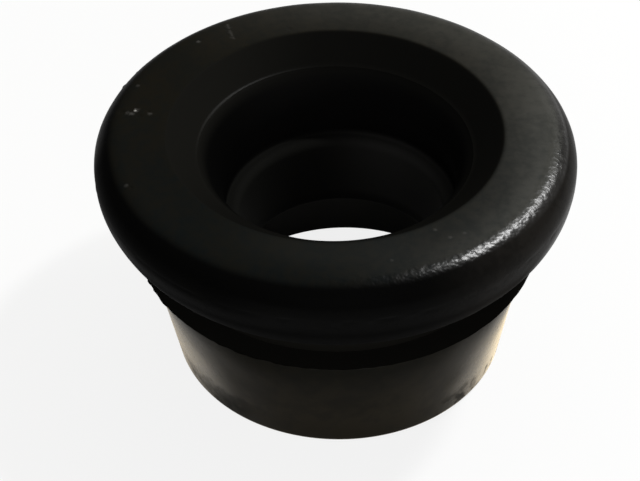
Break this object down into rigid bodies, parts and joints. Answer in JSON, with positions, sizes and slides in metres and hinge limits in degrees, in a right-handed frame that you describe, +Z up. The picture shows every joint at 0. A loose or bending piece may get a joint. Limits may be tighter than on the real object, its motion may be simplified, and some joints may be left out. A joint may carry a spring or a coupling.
{
  "type": "rubber grommet",
  "caption": "Push-in rubber grommet: round bulged flange, panel groove, tapered skirt and a stepped through-hole with a sloped lead-in.",
  "frame": {"origin": "centre of the skirt's foot, on the surface that the grommet stands on", "axes": "+Z up along the hole's axis, from the foot to the flange; the part is round, so X and Y are alike"},
  "size_m": [0.033, 0.033, 0.0183],
  "materials": {
    "rubber": "black moulded rubber with a fine matt grain, a little shinier on the skirt and along the flange's edge"
  },
  "bodies": {
    "root": {"grommet": "rubber"}
  },
  "joints": []
}
